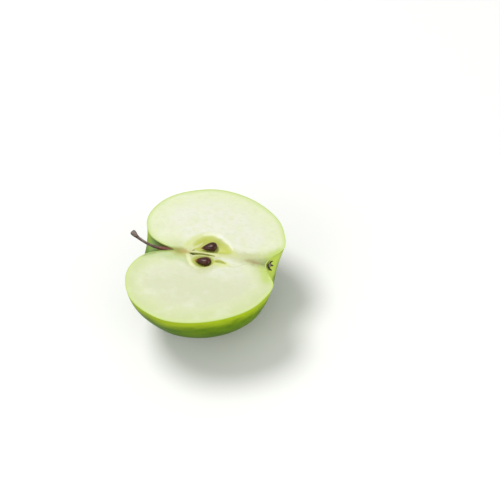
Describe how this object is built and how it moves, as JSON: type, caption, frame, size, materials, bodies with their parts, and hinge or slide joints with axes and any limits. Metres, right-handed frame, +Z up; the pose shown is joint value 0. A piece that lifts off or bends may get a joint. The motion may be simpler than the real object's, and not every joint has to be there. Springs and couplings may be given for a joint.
{
  "type": "apple half",
  "caption": "Half of a green apple, cut from stem to calyx and lying on its peel, cut face up, with its seeds, stem and dried calyx.",
  "frame": {"origin": "centre of the small flat spot that the half rests on, under the middle of its cut face", "axes": "+X along the apple's axis from the stem end to the calyx end, +Y across the cut face, +Z up out of the level cut face"},
  "size_m": [0.0735, 0.0798, 0.0436],
  "materials": {
    "flesh": "moist pale cream-green apple flesh, faintly mottled, with green peel round the outside",
    "peel": "waxy green apple peel with small pale dots, satin gloss",
    "seed": "smooth dark reddish brown seed coat, glossy",
    "stem": "dry grey-brown bark with fine ridges along it",
    "calyx": "dried dark brown sepals, matt, with paler frayed tips"
  },
  "bodies": {
    "root": {"apple_half": "flesh", "seed_far": "seed", "seed_near": "seed", "stem": "stem", "calyx": "calyx"}
  },
  "joints": []
}
